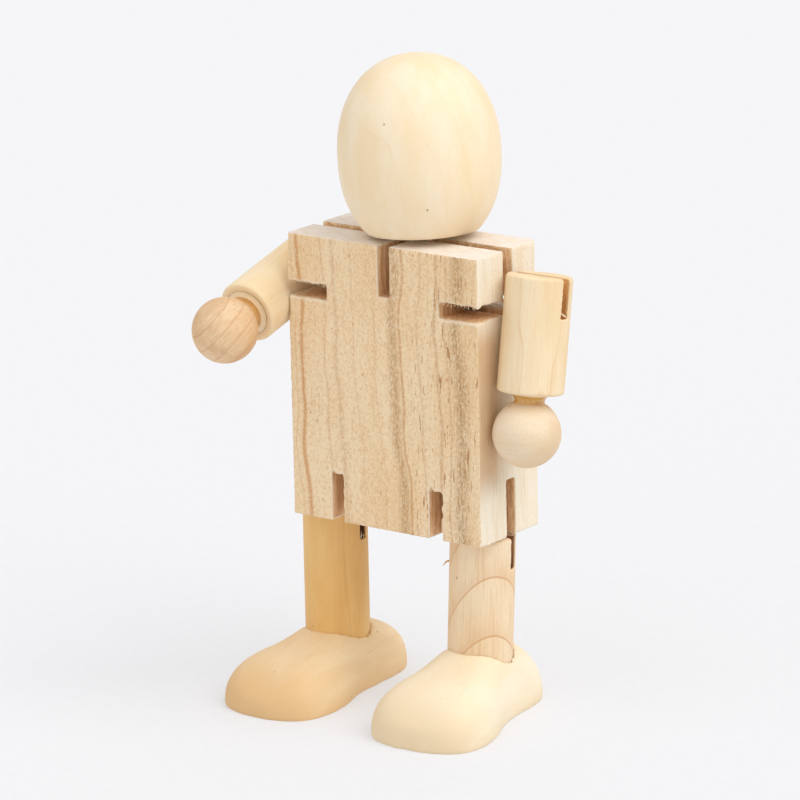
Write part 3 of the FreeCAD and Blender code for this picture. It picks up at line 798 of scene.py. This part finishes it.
def elastic():
    """Braided elastic: two crossing sets of fine threads."""
    finish = Finish("elastic", 0.8, Specular_IOR_Level=0.2, Sheen_Weight=0.25)
    x, y, z = (finish.part(axis) for axis in "XYZ")
    sum_all = finish.math("ADD", finish.math("ADD", x, y), z)
    one = finish.math("SINE", finish.times(sum_all, RIB_TURNS))
    two = finish.math("SINE", finish.times(finish.math("SUBTRACT", finish.math("ADD", x, y), z), RIB_TURNS))
    weave = finish.times(one, two)
    base = finish.mix(finish.between(weave, -0.6, 0.6), colour(216, 208, 192), colour(250, 246, 236))
    return finish.done(base, weave, 0.12, 0.8)


def wire_steel():
    """Bright wire nail, drawn along its length."""
    finish = Finish("steel_pin", 0.34, Metallic=1.0)
    scratches = finish.noise((6.0, 1.0, 6.0), detail=3.0)
    base = finish.mix(finish.between(scratches, 0.35, 0.7), colour(176, 174, 170), colour(138, 136, 132))
    return finish.done(base, scratches, 0.02, 0.5)


def fibre_wood():
    """Pale torn fibres."""
    finish = Finish("torn_fibre", 0.7, Specular_IOR_Level=0.3)
    fibres = finish.noise((1.5, 1.5, 0.3), detail=2.0)
    base = finish.mix(finish.between(fibres, 0.35, 0.7), colour(248, 232, 204), colour(226, 194, 150))
    return finish.done(base, fibres, 0.05, 0.5)


def floor_finish():
    """Plain pale studio paper, with a little glow of its own."""
    finish = Finish("floor_paper", 0.9, Specular_IOR_Level=0.1, Emission_Strength=FLOOR_GLOW,
                    Emission_Color=FLOOR_GLOW_COLOUR)
    tooth = finish.noise((0.25, 0.25, 0.25), detail=2.0)
    base = finish.mix(finish.between(tooth, 0.3, 0.7), FLOOR_PALE, FLOOR_DIM)
    return finish.done(base, tooth, 0.01, 0.1)


def make_woods():
    """The sanded woods, by the piece that each is for."""
    looks = {
        "head": dict(
            pale=colour(248, 231, 202), warm=colour(245, 222, 182), line=colour(236, 204, 154),
            rings=(10.0, 0.25, 1.2, 0.25, 0), strength=0.16),
        "left_arm": dict(
            pale=colour(244, 224, 188), warm=colour(238, 210, 164), line=colour(222, 172, 112),
            rings=(6.0, 0.05, -0.9, 0.3, 2.0), strength=0.3, kerf=colour(236, 176, 104)),
        "right_arm": dict(
            pale=colour(250, 230, 194), warm=colour(246, 220, 174), line=colour(232, 190, 132),
            rings=(8.0, 0.05, 0.4, 0.3, 0), strength=0.22, kerf=colour(214, 156, 92),
            torso_end_shade=colour(228, 180, 112)),
        "left_leg": dict(
            pale=colour(244, 222, 188), warm=colour(236, 208, 168), line=colour(212, 160, 108),
            rings=(11.7, -0.62, -0.85, 0.03, 6.1), strength=0.75, line_width=0.03,
            kerf=colour(180, 120, 74)),
        "right_leg": dict(
            pale=colour(240, 198, 130), warm=colour(232, 184, 112), line=colour(204, 146, 78),
            rings=(11.0, 0.04, 1.0, 0.2, 0), strength=0.18, kerf=colour(120, 66, 40)),
        "left_ball": dict(
            pale=colour(238, 218, 188), warm=colour(230, 202, 164), line=colour(208, 174, 136),
            rings=(3.0, 0.08, 0.3, 0.2, 0), strength=0.14, turn=(0, 90, 0)),
        "right_ball": dict(
            pale=colour(240, 212, 174), warm=colour(228, 192, 146), line=colour(196, 134, 84),
            rings=(4.6, 0.03, 0.9, 0.08, 1.5), strength=0.4, line_width=0.06, turn=(-34, -27, 0),
            streaks=0.2),
        "left_foot": dict(
            pale=colour(246, 234, 208), warm=colour(242, 224, 190), line=colour(232, 202, 158),
            rings=(8.0, 0.1, 0.2, 0.3, 0), strength=0.14, turn=(90, 0, 0), toe_shade=colour(232, 208, 168)),
        "right_foot": dict(
            pale=colour(244, 220, 180), warm=colour(238, 206, 158), line=colour(222, 180, 124),
            rings=(9.0, 0.1, 0.5, 0.3, 0), strength=0.16, turn=(90, 0, 0), toe_shade=colour(222, 180, 124)),
    }
    woods = {}
    for seed, (name, look) in enumerate(looks.items(), start=1):
        woods[name] = smooth_wood(name + "_wood", seed, **look)
    return woods


# ---------------------------------------------------------------------------
# Stage
# ---------------------------------------------------------------------------

def make_camera():
    """The camera at the figure's front left, looking a little down."""
    yaw, pitch, roll = (math.radians(a) for a in (CAMERA_YAW, CAMERA_PITCH, CAMERA_ROLL))
    look = Vector((-math.sin(yaw) * math.cos(pitch), math.cos(yaw) * math.cos(pitch), -math.sin(pitch)))
    right = Vector((math.cos(yaw), math.sin(yaw), 0))
    up = right.cross(look)
    image_right = math.cos(roll) * right + math.sin(roll) * up
    image_up = math.cos(roll) * up - math.sin(roll) * right
    data = bpy.data.cameras.new("camera")
    data.lens = LENS
    data.sensor_width = SENSOR_WIDTH
    data.clip_start = CLIP_START
    camera = bpy.data.objects.new("camera", data)
    bpy.context.scene.collection.objects.link(camera)
    place = bottom_frame("torso_block").translation + Vector(CAMERA_FROM_BLOCK) * MM
    camera.matrix_world = axes_at(place, image_right, image_up, -look)
    bpy.context.scene.camera = camera


def make_floor():
    """A wide pale floor."""
    mesh = bpy.data.meshes.new("floor")
    corners = [(x * FLOOR_HALF, y * FLOOR_HALF, 0) for x, y in ((-1, -1), (1, -1), (1, 1), (-1, 1))]
    mesh.from_pydata(corners, [], [(0, 1, 2, 3)])
    floor = new_piece("floor", mesh, Matrix.Identity(4))
    mesh.materials.append(floor_finish())


def make_sun(name, azimuth, height, strength, softness):
    """A soft distant light from an azimuth and height in degrees."""
    data = bpy.data.lights.new(name, "SUN")
    data.energy = strength
    data.angle = math.radians(softness)
    sun = bpy.data.objects.new(name, data)
    bpy.context.scene.collection.objects.link(sun)
    a, h = math.radians(azimuth), math.radians(height)
    towards = Vector((math.cos(a) * math.cos(h), math.sin(a) * math.cos(h), math.sin(h)))
    sun.rotation_euler = towards.to_track_quat("Z", "Y").to_euler()


def make_light():
    """Bright even studio light, brighter overhead, with the suns."""
    world = bpy.data.worlds.new("studio")
    world.use_nodes = True
    tree = world.node_tree
    coords = tree.nodes.new("ShaderNodeTexCoord")
    split = tree.nodes.new("ShaderNodeSeparateXYZ")
    height = tree.nodes.new("ShaderNodeMapRange")
    height.inputs["From Min"].default_value = 0.0
    height.inputs["From Max"].default_value = SKY_HIGH_FROM
    height.inputs["To Min"].default_value = SKY_LOW
    height.inputs["To Max"].default_value = SKY_HIGH
    tree.links.new(coords.outputs["Generated"], split.inputs["Vector"])
    tree.links.new(split.outputs["Z"], height.inputs["Value"])
    tree.links.new(height.outputs["Result"], tree.nodes["Background"].inputs["Strength"])
    tree.nodes["Background"].inputs["Color"].default_value = SKY_COLOUR
    bpy.context.scene.world = world
    for sun in SUNS:
        make_sun(*sun)
    bpy.context.scene.view_settings.view_transform = "Standard"


# ---------------------------------------------------------------------------
# The figure
# ---------------------------------------------------------------------------

def dress(piece, material):
    """Give a piece or a CAD node one material."""
    piece.data.materials.clear()
    piece.data.materials.append(material)


def dress_pins():
    """Bright wire on the CAD nodes that stay, the pins."""
    steel = wire_steel()
    for name, node in frame["nodes"].items():
        if name.endswith("_pin"):
            dress(node, steel)


def make_figure():
    """Every wooden piece with its wood."""
    woods = make_woods()
    dress(make_torso(), sawn_pine())
    dress(make_head(), woods["head"])
    peg = glued_peg()
    for side in SIDES:
        arm_place = arm_frame(side)
        arm = make_limb(side, "arm", arm_place)
        dress(arm, woods[side + "_arm"])
        dress(make_ball(side, arm_place), woods[side + "_ball"])
        dress(make_peg(side, arm_place), peg)
        leg = make_limb(side, "leg", leg_frame(side))
        dress(leg, woods[side + "_leg"])
        dress(make_foot(side), woods[side + "_foot"])
    pale = fibre_wood()
    dress(make_slivers("torso_fibres", torso_slivers(), bottom_frame("torso_block"), "torso"), pale)
    dress(make_slivers("left_arm_splinter", ARM_SLIVERS, arm_frame("left"), "left_arm"), pale)
    dress(make_slivers("right_leg_splinters", LEG_SLIVERS, leg_frame("right"), "right_leg"), pale)
    dress(make_slivers("left_leg_burr", BURR, leg_frame("left"), "left_leg"), woods["right_leg"])


make_camera()
make_floor()
make_light()
make_figure()
make_cords()
dress_pins()
bpy.context.view_layer.update()
